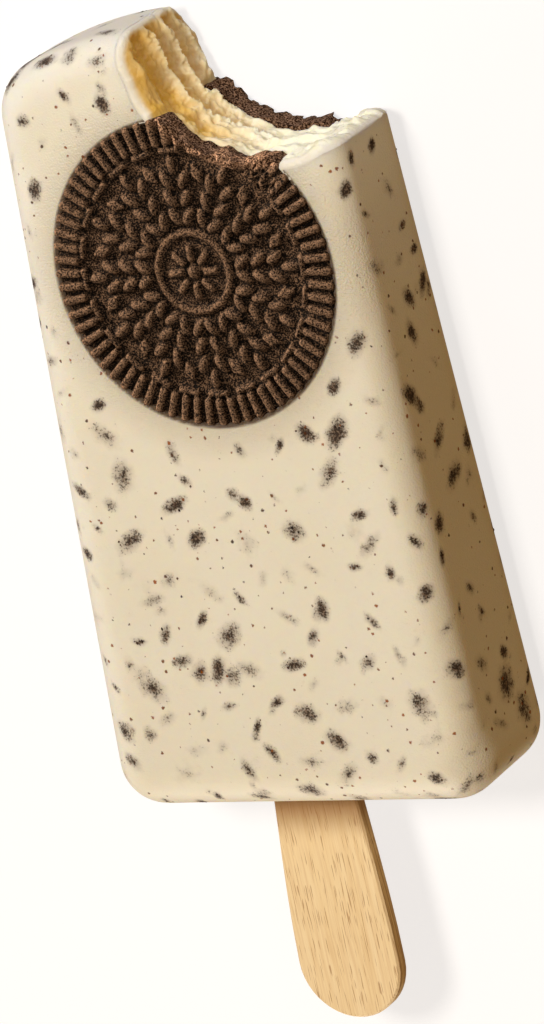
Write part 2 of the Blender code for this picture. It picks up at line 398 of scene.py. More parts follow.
# %% [markdown]
# ## The bite
#
# Teeth leave a wall, not a smooth cut. Seen from the front the wall drops from the tip in a steep arc and
# runs out to the side in a shallow one. Along that path the front teeth dragged, so the wall is terraced:
# each tooth's edge left a step that runs with the bite. The wall is a fine grid that is wrapped along the
# path, then pushed in and out by a function, because no modifier knows which way the teeth moved.

# %% The path of the bite
BOTTOM_X = BITE_WALL_X + BITE_STEEP_RADIUS
STEEP = Vector((BOTTOM_X, BITE_FLOOR_Y + BITE_STEEP_RADIUS))
SHALLOW = Vector((BOTTOM_X, BITE_FLOOR_Y + BITE_SHALLOW_RADIUS))
RUN_OUT = math.asin((FOOT_WIDTH / 2 + BITE_OVERRUN / 2 - BOTTOM_X) / BITE_SHALLOW_RADIUS)
STRAIGHT = BITE_OVERRUN
STEEP_RUN = BITE_STEEP_RADIUS * math.pi / 2
SHALLOW_RUN = BITE_SHALLOW_RADIUS * RUN_OUT
BITE_RUN = STRAIGHT + STEEP_RUN + SHALLOW_RUN


def on_bite(run):
    """The place on the bite's path after a distance, and the direction into the bar there."""
    if run < STRAIGHT:
        return Vector((BITE_WALL_X, STEEP.y + STRAIGHT - run)), Vector((-1.0, 0.0))
    if run < STRAIGHT + STEEP_RUN:
        angle = math.pi + (run - STRAIGHT) / BITE_STEEP_RADIUS
        inward = Vector((math.cos(angle), math.sin(angle)))
        return STEEP + BITE_STEEP_RADIUS * inward, inward
    angle = 1.5 * math.pi + (run - STRAIGHT - STEEP_RUN) / BITE_SHALLOW_RADIUS
    inward = Vector((math.cos(angle), math.sin(angle)))
    return SHALLOW + BITE_SHALLOW_RADIUS * inward, inward


def near_bite(point):
    """For a point of the bar: how far along the bite it is, and how deep inside its wall."""
    flat = Vector((point.x, point.y))
    if flat.x < BOTTOM_X:
        if flat.y > STEEP.y:
            return STRAIGHT - (flat.y - STEEP.y), BITE_WALL_X - flat.x
        arm = flat - STEEP
        return STRAIGHT + BITE_STEEP_RADIUS * math.atan2(-arm.y, -arm.x), arm.length - BITE_STEEP_RADIUS
    arm = flat - SHALLOW
    run = STRAIGHT + STEEP_RUN + BITE_SHALLOW_RADIUS * math.atan2(arm.x, -arm.y)
    return run, arm.length - BITE_SHALLOW_RADIUS


def bite_cutter(name, step, deeper):
    """A closed block over the bite. Its wall is a grid of this step, moved by the function deeper."""
    below, above = -3.0 * MM, FOOT_DEPTH + 3.0 * MM
    columns, rows = round(BITE_RUN / step), round((above - below) / step)
    bpy.ops.mesh.primitive_grid_add(x_subdivisions=columns, y_subdivisions=rows, size=1.0)
    cutter = added(name)
    for vertex in cutter.data.vertices:
        run = (vertex.co.x + 0.5) * BITE_RUN
        z = below + (vertex.co.y + 0.5) * (above - below)
        place, inward = on_bite(run)
        place = place + inward * deeper(run, z)
        vertex.co = (place.x, place.y, z)
    edit(cutter, "FACE")
    bpy.ops.mesh.select_all(action="SELECT")
    away = Vector((0.45, 1.0, 0.0)) * 45 * MM
    bpy.ops.mesh.extrude_region_move(TRANSFORM_OT_translate={"value": away})
    bpy.ops.mesh.select_all(action="SELECT")
    bpy.ops.mesh.normals_make_consistent(inside=False)
    return done(cutter)


TOOTH_WIDTH = 7.0 * MM
TOOTH_DEPTH = 0.35 * MM
LIP = 1.0 * MM


def tooth_marks(run, z):
    """The broad marks of single teeth."""
    return TOOTH_DEPTH * (abs(math.sin(math.pi * run / TOOTH_WIDTH)) - 0.5)


def coating_edge(run, z):
    """The coating ends a lip's width behind the wall, where the soft ice cream laps over its edge."""
    return tooth_marks(run, z) + LIP


def lip_reach(run, z):
    return 2.4 * LIP


# %% [markdown]
# ## The ice cream
#
# Only the bite shows the ice cream. High up on the wall the teeth scraped it into curtains, each with a
# crumbly crest and a hollow behind it. Down at the floor of the bite it broke in soft, creamy lumps.

# %% The torn ice cream
TERRACE = 3.7 * MM
TERRACE_DEPTH = 1.6 * MM
FIRST_HOLLOW = 13.5 * MM
RISE_SHARE = 0.86
CALM_RIM = 1.7 * MM
ROUND_RIM = 0.9 * MM
CORNER = Vector((24.0 * MM, TIP_Y - 13.5 * MM))
bar_shape = bvhtree.BVHTree.FromObject(coating, bpy.context.evaluated_depsgraph_get())


def curtains(run, z):
    """Where a point lies in the scraped curtains: 0 in a hollow, 1 on a crest."""
    place, _ = on_bite(run)
    spot = Vector((place.x, place.y, z))
    wander = 1.1 * MM * noise.fractal(spot / (8 * MM), 1.0, 2.0, 2)
    ragged = 0.75 * MM * noise.fractal(spot / (1.0 * MM), 0.9, 2.0, 3)
    behind = (FIRST_HOLLOW - z + wander + ragged - 0.10 * run) / TERRACE
    if behind < 0.0:
        return min(0.75, -1.6 * behind)
    phase = behind % 1.0
    if phase < RISE_SHARE:
        return (phase / RISE_SHARE) ** 1.2
    return 1.0 - (phase - RISE_SHARE) / (1.0 - RISE_SHARE)


def steepness(run):
    """1 high up on the scraped wall, 0 on the floor of the bite."""
    return min(1.0, max(0.0, (STRAIGHT + 1.05 * STEEP_RUN - run) / (0.6 * STEEP_RUN)))


def beside_biscuit(spot):
    """1 where a biscuit is in the wall, falling to 0 a little outside it."""
    from_rim = BISCUIT_RADIUS - math.hypot(spot.x - BISCUIT_X, spot.y - BISCUIT_Y)
    above_front = spot.z - (bar_depth(spot.y) + BISCUIT_PROUD - BISCUIT_DEPTH)
    under_back = BISCUIT_RECESS + BISCUIT_DEPTH - spot.z
    return min(1.0, max(0.0, 1.0 + min(from_rim, max(above_front, under_back)) / (0.7 * MM)))


def under_surface(spot):
    """How deep a place lies under the bar's outer surface. It's 0 outside the bar."""
    nearest, outward, _, away = bar_shape.find_nearest(spot)
    return away if (nearest - spot).dot(outward) > 0.0 else 0.0


def torn(run, z):
    """How much deeper the wall lies: curtains along the bite, crumbled edges and soft lumps."""
    place, _ = on_bite(run)
    spot = Vector((place.x, place.y, z))
    steep = steepness(run)
    drawn = Vector((0.45 * run, 0.0, z))
    lumps = 0.55 * MM * noise.fractal(drawn / (1.5 * MM), 1.0, 2.0, 3)
    grain = 0.06 * MM * noise.fractal(spot / (0.6 * MM), 1.0, 2.0, 3)
    scrape = (0.25 + 0.75 * steep) * TERRACE_DEPTH * (0.4 - curtains(run, z))
    depth = under_surface(spot)
    share = min(1.0, max(0.0, depth - 0.3 * MM) / CALM_RIM)
    share = share * share * (3 - 2 * share)
    corner = min(1.0, max(0.0, 1.4 - (place - CORNER).length / (4 * MM)))
    rim = ROUND_RIM + 1.2 * MM * corner
    short = max(0.0, rim - depth)
    rounded = rim - math.sqrt(rim ** 2 - short ** 2)
    sunk = 0.5 * MM * beside_biscuit(spot)
    frayed = min(1.0, max(0.0, 1.4 - z / (5 * MM))) * (1.0 - share) * 1.2 * lumps
    moved = share * (scrape + (1.1 - 0.5 * steep) * lumps) + frayed + grain
    return rounded + moved + tooth_marks(run, z) + sunk


ice_cream = bar_block("ice_cream_torn", COAT - 0.03 * MM)
lip = bar_block("lip", 0.04 * MM)
near = bite_cutter("near_the_bite", 0.5 * MM, lip_reach)
apply(lip, "BOOLEAN", operation="INTERSECT", solver="MANIFOLD", object=near)
apply(ice_cream, "BOOLEAN", operation="UNION", solver="MANIFOLD", object=lip)
bpy.data.objects.remove(lip, do_unlink=True)
bpy.data.objects.remove(near, do_unlink=True)
cut(ice_cream, bite_cutter("torn_wall", 0.14 * MM, torn))
print("ice cream", triangles(ice_cream), "triangles")


# %% [markdown]
# ## The coating
#
# The coating is a thin frozen shell. Its block gets a pocket for each biscuit, is remeshed into an even skin
# of small faces, and smoothed, which draws it softly up to the biscuits. The bite is cut only then, so that
# its edge stays crisp, and it ends a lip's width back, under the soft ice cream that was dragged over it.
# Last a plain core is taken out, to leave a shell.


# %% Cutting the coating
SKIN_FACE = 0.42 * MM


def biscuit_pocket(front, radius, deep):
    """A cylinder where a biscuit comes through the coating."""
    if front:
        z, tilt = bar_depth(BISCUIT_Y), math.atan(DEPTH_SLOPE)
    else:
        z, tilt = 0.0, 0.0
    bpy.ops.mesh.primitive_cylinder_add(
        vertices=180, radius=radius, depth=2 * deep,
        location=(BISCUIT_X, BISCUIT_Y, z), rotation=(tilt, 0.0, 0.0))
    return added("pocket")


for front in (True, False):
    cut(coating, biscuit_pocket(front, BISCUIT_RADIUS - 0.4 * MM, BISCUIT_DEPTH))
    cut(ice_cream, biscuit_pocket(front, BISCUIT_RADIUS - 0.15 * MM, 2.9 * MM))
apply(coating, "REMESH", mode="VOXEL", voxel_size=SKIN_FACE)
apply(coating, "SMOOTH", factor=0.5, iterations=4)
cut(coating, bite_cutter("bite", 0.4 * MM, coating_edge))

# %% [markdown]
# ## Crumbs in the coating
#
# Biscuit crumbs were stirred into the coating. Most lie just under its surface and show as soft, grainy
# patches, so they're a field that is stored on the skin's points: 1 in the middle of a patch, 0 at its
# edge. The shader makes grain and colour of it. The largest crumbs break through the surface, and they're
# modelled.

# %% Where the crumbs are
PATCHES = 380
PATCH_SPACING = 2.2 * MM
dice = random.Random(7)
skin = [(vertex.co.copy(), vertex.normal.copy()) for vertex in coating.data.vertices]
patches = []
for attempt in range(12000):
    middle, outward = dice.choice(skin)
    size = (0.95 + 1.25 * dice.random() ** 1.4) * MM
    from_biscuit = math.hypot(middle.x - BISCUIT_X, middle.y - BISCUIT_Y) - BISCUIT_RADIUS
    crowded = from_biscuit < 1.0 * MM + size or near_bite(middle)[1] < 1.0 * MM + size
    spaced = all((middle - other[0]).length > PATCH_SPACING + size for other in patches)
    if spaced and not crowded and len(patches) < PATCHES:
        along = Vector([dice.uniform(-1, 1) for _ in range(3)]).cross(outward).normalized()
        patches.append((middle, size, along, dice.uniform(0.35, 0.85), dice.uniform(0.3, 1.0), outward))
for middle, size, along, slim, strength, outward in list(patches):
    for _ in range(dice.choice((0, 1, 2, 3))):
        aside = Vector([dice.uniform(-1, 1) for _ in range(3)]).normalized() * size * dice.uniform(0.7, 1.5)
        patches.append((middle + aside, size * dice.uniform(0.35, 0.8), along, dice.uniform(0.6, 1.0),
                        strength * dice.uniform(0.4, 1.0), outward))
print(len(patches), "crumb patches")


def store(piece, name, values):
    """Keep one number for each point of a piece, for its material."""
    attribute = piece.data.attributes.new(name, "FLOAT", "POINT")
    attribute.data.foreach_set("value", values)


def crumb_field(piece):
    """How close each point is to the middle of a patch, by the patch's own long and short radius."""
    points = kdtree.KDTree(len(piece.data.vertices))
    for vertex in piece.data.vertices:
        points.insert(vertex.co, vertex.index)
    points.balance()
    field = [0.0] * len(piece.data.vertices)
    for middle, size, along, slim, strength, _ in patches:
        for place, index, distance in points.find_range(middle, size * 1.5):
            lengthwise = (place - middle).dot(along)
            across = math.sqrt(max(0.0, distance ** 2 - lengthwise ** 2))
            reach = math.hypot(lengthwise, across / slim) / (1.5 * size)
            field[index] = max(field[index], strength * (1.0 - reach))
    return field


def biscuit_edge_field(piece):
    """1 where the coating meets a biscuit, falling to 0 a few millimetres away."""
    field = []
    for vertex in piece.data.vertices:
        away = math.hypot(vertex.co.x - BISCUIT_X, vertex.co.y - BISCUIT_Y) - BISCUIT_RADIUS
        field.append(max(0.0, 1.0 - max(0.0, away) / (4.5 * MM)))
    return field


cut(coating, core)
cut(ice_cream, coating, keep=True)
store(coating, "crumbs", crumb_field(coating))
store(coating, "biscuit_edge", biscuit_edge_field(coating))
print("coating", triangles(coating), "triangles")


def biscuit_crumbs():
    """Small dark crumbs that break through the coating in the strongest patches."""
    bpy.ops.mesh.primitive_uv_sphere_add(segments=6, ring_count=5, radius=1.0)
    pattern = added("crumb")
    crumbs = [pattern]
    surface = bvhtree.BVHTree.FromObject(coating, bpy.context.evaluated_depsgraph_get())
    for middle, size, along, _, strength, _ in patches[:PATCHES]:
        if strength < 0.7:
            continue
        for _ in range(dice.randint(2, 5)):
            spread = Vector([dice.gauss(0.0, 0.2) for _ in range(3)]) * size
            spread += along * dice.gauss(0.0, 0.3) * size
            radius = dice.uniform(0.12, 0.26) * MM
            place, outward, _, _ = surface.find_nearest(middle + spread)
            crumb = bpy.data.objects.new("crumb", pattern.data)
            crumb.location = place - outward * 0.85 * radius
            crumb.rotation_euler = [dice.uniform(0.0, 6.3) for _ in range(3)]
            crumb.scale = [radius * dice.uniform(0.7, 1.5) for _ in range(3)]
            bpy.context.collection.objects.link(crumb)
            crumbs.append(crumb)
    pattern.location = crumbs[1].location
    pattern.scale = crumbs[1].scale
    select_only(*crumbs)
    bpy.ops.object.make_single_user(object=True, obdata=True)
    return joined("biscuit_crumbs", crumbs)


crumbs = biscuit_crumbs()
print("crumbs", triangles(crumbs), "triangles")


# %% [markdown]
# ## The coating's finish
#
# White chocolate set smooth and waxy, with a faint grain. Light goes a little way into it, which softens
# its shade. Crumbs under the surface are grey-brown smudges with darker grains in them, and fine cocoa
# specks are scattered between them. Round the biscuit the coating is wrinkled, and its colour is painted
# with shade: greyer a few millimetres out, with a dark brown painted contact shadow where it meets it.

# %% White chocolate with crumbs
def white_chocolate():
    material, tree, shader = new_material(
        "white_chocolate_with_crumbs", Roughness=0.5, Subsurface_Scale=3.0 * MM,
        Subsurface_Radius=(1.0, 0.6, 0.22), IOR=1.45)
    place = add_node(tree, "ShaderNodeTexCoord").outputs["Object"]
    crumbs = add_node(tree, "ShaderNodeAttribute", attribute_name="crumbs").outputs["Fac"]
    edge = add_node(tree, "ShaderNodeAttribute", attribute_name="biscuit_edge").outputs["Fac"]
    grain = add_node(tree, "ShaderNodeTexNoise", {"Vector": place, "Scale": 1 / (0.25 * MM), "Detail": 2.0})

    cloud = add_node(tree, "ShaderNodeTexNoise", {"Vector": place, "Scale": 1 / (14 * MM), "Detail": 2.0})
    looks = add_node(tree, "ShaderNodeMix", {0: cloud.outputs[0], 6: linear("#EDE7D6"), 7: linear("#E6DEC8")},
                     data_type="RGBA").outputs[2]

    # Painted shade round the biscuit: greyer a few millimetres out, and a dark brown painted contact shadow
    # where it meets the biscuit.
    drawn = add_node(tree, "ShaderNodeMath", {0: edge, 1: 0.5}, operation="MULTIPLY").outputs[0]
    looks = add_node(tree, "ShaderNodeMix", {0: drawn, 6: looks, 7: linear("#C4BBA4")},
                     data_type="RGBA").outputs[2]
    painted_contact_shadow = add_node(tree, "ShaderNodeMapRange", {0: edge, 1: 0.93, 2: 0.99, 3: 0.0, 4: 0.9}).outputs[0]
    looks = add_node(tree, "ShaderNodeMix", {0: painted_contact_shadow, 6: looks, 7: linear("#4A3018")},
                     data_type="RGBA").outputs[2]

    # Soft smudges: the field's edge is broken up by noise of a millimetre.
    ragged = add_node(tree, "ShaderNodeTexNoise", {"Vector": place, "Scale": 1 / (1.1 * MM), "Detail": 3.0})
    soft = add_node(tree, "ShaderNodeMath", {0: ragged.outputs[0], 1: 0.4, 2: crumbs},
                    operation="MULTIPLY_ADD").outputs[0]
    smudge = add_node(tree, "ShaderNodeMapRange", {0: soft, 1: 0.22, 2: 0.95, 3: 0.0, 4: 0.85},
                      interpolation_type="SMOOTHSTEP").outputs[0]
    looks = add_node(tree, "ShaderNodeMix", {0: smudge, 6: looks, 7: linear("#857B6F")},
                     data_type="RGBA").outputs[2]

    # Grains of a quarter millimetre, dark and mid brown, crowd toward the middle of a patch.
    broken = add_node(tree, "ShaderNodeMath", {0: ragged.outputs[0], 1: 0.9, 2: crumbs},
                      operation="MULTIPLY_ADD").outputs[0]
    grains = add_node(tree, "ShaderNodeMath", {0: grain.outputs[0], 1: 1.1, 2: broken},
                      operation="MULTIPLY_ADD").outputs[0]
    dark = add_node(tree, "ShaderNodeMapRange", {0: grains, 1: 1.36, 2: 1.66, 3: 0.0, 4: 0.92}).outputs[0]
    flake = add_node(tree, "ShaderNodeTexNoise", {"Vector": place, "Scale": 1 / (0.32 * MM), "Detail": 1.0})
    tone = add_node(tree, "ShaderNodeMapRange", {0: flake.outputs[0], 1: 0.5, 2: 0.66}).outputs[0]
    brown = add_node(tree, "ShaderNodeMix", {0: tone, 6: linear("#2A1C13"), 7: linear("#7A6654")},
                     data_type="RGBA").outputs[2]
    looks = add_node(tree, "ShaderNodeMix", {0: dark, 6: looks, 7: brown}, data_type="RGBA").outputs[2]

    # Crisp specks of cocoa: one in each cell, most too small to see.
    nudge = add_node(tree, "ShaderNodeVectorMath", {0: grain.outputs["Color"], 1: (0.35 * MM,) * 3, 2: place},
                     operation="MULTIPLY_ADD").outputs[0]
    turned = add_node(tree, "ShaderNodeMapping", {"Vector": nudge, "Rotation": (0.5, 0.8, 0.3)}).outputs[0]
    cells = add_node(tree, "ShaderNodeTexVoronoi", {"Vector": turned, "Scale": 1 / (1.15 * MM)})
    share = add_node(tree, "ShaderNodeSeparateColor", {0: cells.outputs["Color"]})
    radius = add_node(tree, "ShaderNodeMapRange", {0: share.outputs[0], 1: 0.3, 2: 1.0, 3: 0.0,
                                                   4: 0.23}).outputs[0]
    inside = add_node(tree, "ShaderNodeMath", {0: radius, 1: cells.outputs["Distance"]},
                      operation="SUBTRACT").outputs[0]
    speck = add_node(tree, "ShaderNodeMapRange", {0: inside, 1: -0.02, 2: 0.07, 3: 0.0, 4: 0.92}).outputs[0]
    rust = add_node(tree, "ShaderNodeMix", {0: share.outputs[1], 6: linear("#98500F"), 7: linear("#2E1203")},
                    data_type="RGBA").outputs[2]
    looks = add_node(tree, "ShaderNodeMix", {0: speck, 6: looks, 7: rust}, data_type="RGBA").outputs[2]
    # Crumbs let no light through and hardly shine.
    crumbly = add_node(tree, "ShaderNodeMath", {0: smudge, 1: speck}, operation="MAXIMUM").outputs[0]
    glow = add_node(tree, "ShaderNodeMapRange", {0: crumbly, 3: 0.42, 4: 0.0}).outputs[0]
    tree.links.new(glow, shader.inputs["Subsurface Weight"])
    shine = add_node(tree, "ShaderNodeMapRange", {0: crumbly, 3: 0.45, 4: 0.05}).outputs[0]
    tree.links.new(shine, shader.inputs["Specular IOR Level"])

    tree.links.new(looks, shader.inputs["Base Color"])

    # A grain of a quarter millimetre, stronger where the coating is drawn thin round the biscuit.
    depth = add_node(tree, "ShaderNodeMapRange", {0: edge, 1: 0.0, 2: 1.0, 3: 0.35, 4: 1.6}).outputs[0]
    height = add_node(tree, "ShaderNodeMath", {0: grain.outputs[0], 1: depth},
                      operation="MULTIPLY").outputs[0]
    bump = add_node(tree, "ShaderNodeBump", {"Height": height, "Distance": 0.25 * MM, "Strength": 0.8})
    tree.links.new(bump.outputs[0], shader.inputs["Normal"])
    return material


# %% [markdown]
# ## The biscuits
#
# A biscuit is stamped from dough, so its relief has soft shoulders and stands a little under a millimetre
# high. Each motif is modelled once, then spun round the middle into copies. A voxel remesh fuses the body
# and the motifs into one dough, and fine noise roughens it.

# %% One biscuit, lying on its base
BISCUIT_FIELD = BISCUIT_DEPTH - 0.8 * MM
RIDGES = 66
DASHES = 24
EARS = 12


def repeat_round(piece, count):
    """Copy a motif round the biscuit's middle, so that there are count of them."""
    edit(piece, "FACE")
    bpy.ops.mesh.select_all(action="SELECT")
    bpy.ops.mesh.spin(steps=count - 1, dupli=True, angle=2 * math.pi * (count - 1) / count,
                      center=(0.0, 0.0, 0.0), axis=(0.0, 0.0, 1.0))
    return done(piece)


def raised_bar(name, width, length, height, middle, soft=0.25 * MM):
    """A bar with rounded edges that lies along a radius, its lower half sunk in the dough."""
    bpy.ops.mesh.primitive_cube_add(location=(0.0, middle, BISCUIT_FIELD), scale=(
        width / 2, length / 2, height))
    bar = added(name)
    return apply(bar, "BEVEL", width=soft, segments=2, limit_method="NONE")


def ear(name):
    """An ear of wheat: three pairs of grains that lean out from the radius, and one at its end."""
    grains = []
    for x, y, lean in ((0.85, 6.7, 35), (1.05, 8.9, 32), (1.15, 11.1, 28), (0.0, 13.0, 0)):
        for side in (-1, 1) if x else (1,):
            bpy.ops.mesh.primitive_uv_sphere_add(
                segments=14, ring_count=10, radius=1.0, location=(side * x * MM, y * MM, BISCUIT_FIELD),
                rotation=(0.0, 0.0, -side * math.radians(lean)), scale=(0.66 * MM, 1.3 * MM, 0.85 * MM))
            grains.append(added("grain"))
    return joined(name, grains)


def plain_ring(name, radius, thick):
    bpy.ops.mesh.primitive_torus_add(major_radius=radius, minor_radius=thick, major_segments=96,
                                     location=(0.0, 0.0, BISCUIT_FIELD))
    return added(name)


def biscuit(name):
    """A stamped biscuit with its base at z = 0, centred on the origin."""
    bpy.ops.mesh.primitive_cylinder_add(vertices=168, radius=BISCUIT_RADIUS - 0.1 * MM,
                                        depth=BISCUIT_FIELD, location=(0.0, 0.0, BISCUIT_FIELD / 2))
    body = added(name)
    edit(body, "FACE")
    pick(body, lambda p: p.z > BISCUIT_FIELD - 0.01 * MM, "faces")
    bpy.ops.mesh.bevel(offset=0.3 * MM, segments=2, affect="EDGES")
    done(body)
    ridge = raised_bar("ridge", 0.95 * MM, 3.3 * MM, 0.85 * MM, 0.908 * BISCUIT_RADIUS, 0.3 * MM)
    ridge = repeat_round(ridge, RIDGES)
    dashes = raised_bar("dash", 2.7 * MM, 0.7 * MM, 0.7 * MM, 0.79 * BISCUIT_RADIUS)
    dashes = repeat_round(dashes, DASHES)
    ears = repeat_round(ear("ear"), EARS)
    diamond = raised_bar("diamond", 1.5 * MM, 1.5 * MM, 0.6 * MM, 0.0, 0.2 * MM)
    edit(diamond)
    bpy.ops.mesh.select_all(action="SELECT")
    bpy.ops.transform.rotate(value=math.radians(45), orient_axis="Z", center_override=(0.0, 0.0, 0.0))
    bpy.ops.transform.resize(value=(0.7, 1.25, 1.0), center_override=(0.0, 0.0, 0.0))
    bpy.ops.transform.rotate(value=-math.pi / EARS, orient_axis="Z", center_override=(0.0, 0.0, 0.0))
    turn = math.pi / EARS
    bpy.ops.transform.translate(value=(0.655 * BISCUIT_RADIUS * math.sin(turn),
                                       0.655 * BISCUIT_RADIUS * math.cos(turn), 0.0))
    done(diamond)
    diamonds = repeat_round(diamond, EARS)
    eye_ring = plain_ring("eye_ring", 0.255 * BISCUIT_RADIUS, 0.5 * MM)
    spoke = repeat_round(raised_bar("spoke", 0.8 * MM, 1.9 * MM, 0.62 * MM, 2.3 * MM), 8)
    bpy.ops.mesh.primitive_uv_sphere_add(segments=16, ring_count=8, radius=0.8 * MM,
                                         location=(0.0, 0.0, BISCUIT_FIELD))
    boss = added("boss")
    return joined(name, [body, ridge, dashes, ears, diamonds, spoke, boss, eye_ring])


# %% Baking, placing and biting the biscuits
DOUGH_FACE = 0.2 * MM
DOUGH_GRAIN = 0.04 * MM


def bake(piece):
    """Fuse the motifs with the body and roughen the surface as baking does."""
    apply(piece, "REMESH", mode="VOXEL", voxel_size=DOUGH_FACE)
    apply(piece, "SMOOTH", factor=0.4, iterations=1)
    crumb = bpy.data.textures.new("crumb", "CLOUDS")
    crumb.noise_scale = 0.5 * MM
    crumb.noise_depth = 2
    return apply(piece, "DISPLACE", texture=crumb, strength=DOUGH_GRAIN * 2, mid_level=0.5)


CRUMBLED = Vector((12.2, 10.8)) * MM


def crumbled(place):
    """1 beside the break, where the teeth rubbed the front biscuit's relief away."""
    away = (place.xy - CRUMBLED).length + 1.2 * MM * noise.fractal(place / (1.6 * MM), 1.0, 2.0, 2)
    return min(1.0, max(0.0, 1.5 - away / (2.4 * MM)))


def crumble(piece):
    """Leave rough crumbs there in place of the relief."""
    for vertex in piece.data.vertices:
        if vertex.co.z > BISCUIT_FIELD - 0.1 * MM:
            rough = 0.25 * MM + 0.4 * MM * noise.fractal(vertex.co / (0.8 * MM), 1.0, 2.0, 3)
            vertex.co.z += crumbled(vertex.co) * (BISCUIT_FIELD + rough - vertex.co.z)


def place_biscuit(piece, front):
    """Set a biscuit into the front face, or turned over into the back one."""
    if front:
        top = bar_depth(BISCUIT_Y) + BISCUIT_PROUD
        piece.location = (BISCUIT_X, BISCUIT_Y, top - BISCUIT_DEPTH)
        piece.rotation_euler = (math.atan(DEPTH_SLOPE), 0.0, 0.0)
    else:
        piece.location = (BISCUIT_X, BISCUIT_Y, BISCUIT_RECESS + BISCUIT_DEPTH)
        piece.rotation_euler = (math.pi, 0.0, 0.0)
    select_only(piece)
    bpy.ops.object.transform_apply(location=True, rotation=True, scale=True)
    return piece


def snapped(run, z):
    """The biscuit's break: coarse crumbs that stand out of the ice cream's wall."""
    place, _ = on_bite(run)
    spot = Vector((place.x, place.y, z))
    chunks = 0.45 * MM * noise.fractal(spot / (2.4 * MM), 1.0, 2.0, 2)
    crumbs = 0.14 * MM * noise.fractal(spot / (0.6 * MM), 1.0, 2.0, 2)
    return chunks + crumbs - 0.45 * MM + tooth_marks(run, z)


biscuit_front = bake(biscuit("biscuit_front_baked"))
select_only(biscuit_front)
bpy.ops.object.duplicate()
biscuit_back = bpy.context.object
biscuit_back.name = "biscuit_back_baked"
crumble(biscuit_front)
bite = bite_cutter("snap", 0.2 * MM, snapped)
for piece, front in ((biscuit_front, True), (biscuit_back, False)):
    place_biscuit(piece, front)
    cut(piece, bite, keep=True)
    print(piece.name, triangles(piece), "triangles")
bpy.data.objects.remove(bite, do_unlink=True)

# %% [markdown]
# ## The ice cream's finish
#
# Vanilla ice cream is pale and a little translucent. In the scraped hollows and by the coating its colour
# is painted golden and darker: painted shade, with the painted glow of light that went through more of it.

# %% Vanilla ice cream
def painted_golden_shade_field(piece):
    """Painted golden shade for the torn wall's colour: how golden each point is, most in the hollows high up,
    near the front.
    """
    field = []
    for vertex in piece.data.vertices:
        run = near_bite(vertex.co)[0]
        steep = steepness(run)
        front = vertex.co.z / bar_depth(vertex.co.y)
        hollow = 1.0 - curtains(run, vertex.co.z)
        field.append(min(1.0, max(0.0, steep * (0.3 + 0.6 * front ** 2 + 0.6 * hollow) + 0.1 * hollow)))
    return field


def rim_field(piece):
    """1 on the bar's outer surface, where coating and ice cream have melted together, 0 inside."""
    return [min(1.0, max(0.0, 1.3 - under_surface(vertex.co) / (0.75 * MM)))
            for vertex in piece.data.vertices]


def vanilla():
    material, tree, shader = new_material(
        "torn_vanilla_ice_cream", Roughness=0.42, Subsurface_Weight=0.35, Subsurface_Scale=1.4 * MM,
        Subsurface_Radius=(1.0, 0.8, 0.4), IOR=1.35)
    place = add_node(tree, "ShaderNodeTexCoord").outputs["Object"]
    golden = add_node(tree, "ShaderNodeAttribute", attribute_name="golden").outputs["Fac"]
    cloud = add_node(tree, "ShaderNodeTexNoise", {"Vector": place, "Scale": 1 / (2.5 * MM), "Detail": 3.0})
    # Painted shade: the golden field darkens and golds the colour in the hollows and by the coating.
    uneven = add_node(tree, "ShaderNodeMath", {0: cloud.outputs[0], 1: 0.5, 2: golden},
                      operation="MULTIPLY_ADD").outputs[0]
    depth = add_node(tree, "ShaderNodeMapRange", {0: uneven, 1: 0.34, 2: 1.35}).outputs[0]
    looks = add_node(tree, "ShaderNodeMix", {0: depth, 6: linear("#F6F2D6"), 7: linear("#DCAE40")},
                     data_type="RGBA").outputs[2]
    rim = add_node(tree, "ShaderNodeAttribute", attribute_name="rim").outputs["Fac"]
    melted = add_node(tree, "ShaderNodeMapRange", {0: rim, 1: 0.0, 2: 1.0}, interpolation_type="SMOOTHSTEP")
    looks = add_node(tree, "ShaderNodeMix", {0: melted.outputs[0], 6: looks, 7: linear("#E9E2CE")},
                     data_type="RGBA").outputs[2]
    tree.links.new(looks, shader.inputs["Base Color"])
    fine = add_node(tree, "ShaderNodeTexNoise", {"Vector": place, "Scale": 1 / (0.4 * MM), "Detail": 3.0})
    bump = add_node(tree, "ShaderNodeBump", {"Height": fine.outputs[0], "Distance": 0.15 * MM,
                                             "Strength": 0.5})
    tree.links.new(bump.outputs[0], shader.inputs["Normal"])
    return material


store(ice_cream, "golden", painted_golden_shade_field(ice_cream))
store(ice_cream, "rim", rim_field(ice_cream))


# %% [markdown]
# ## The biscuits' finish
#
# Dark cocoa biscuit, baked dry and hardly shiny, and grainy all over. Its colour is painted with the light
# of its relief: painted shade almost black in the grooves, painted highlight of lighter brown on the raised
# parts and edges. Where it snapped, the crumb inside is lighter and coarser.

# %% Dark cocoa biscuit
def break_field(piece):
    """1 on the snapped edge of a biscuit, 0 elsewhere."""
    field = []
    for vertex in piece.data.vertices:
        inside = near_bite(vertex.co)[1]
        field.append(max(0.0, min(1.0, 1.6 - inside / (0.5 * MM))))
    return field


def relief_shade_and_highlight_field(piece):
    """How far each point stands out of its surroundings, in mm: edges and tops more, grooves less than 0."""
    select_only(piece)
    bpy.ops.object.duplicate()
    soft = bpy.context.object
    apply(soft, "SMOOTH", factor=0.8, iterations=12)
    field = [(point.co - mean.co).dot(point.normal) / MM
             for point, mean in zip(piece.data.vertices, soft.data.vertices)]
    bpy.data.objects.remove(soft, do_unlink=True)
    return field


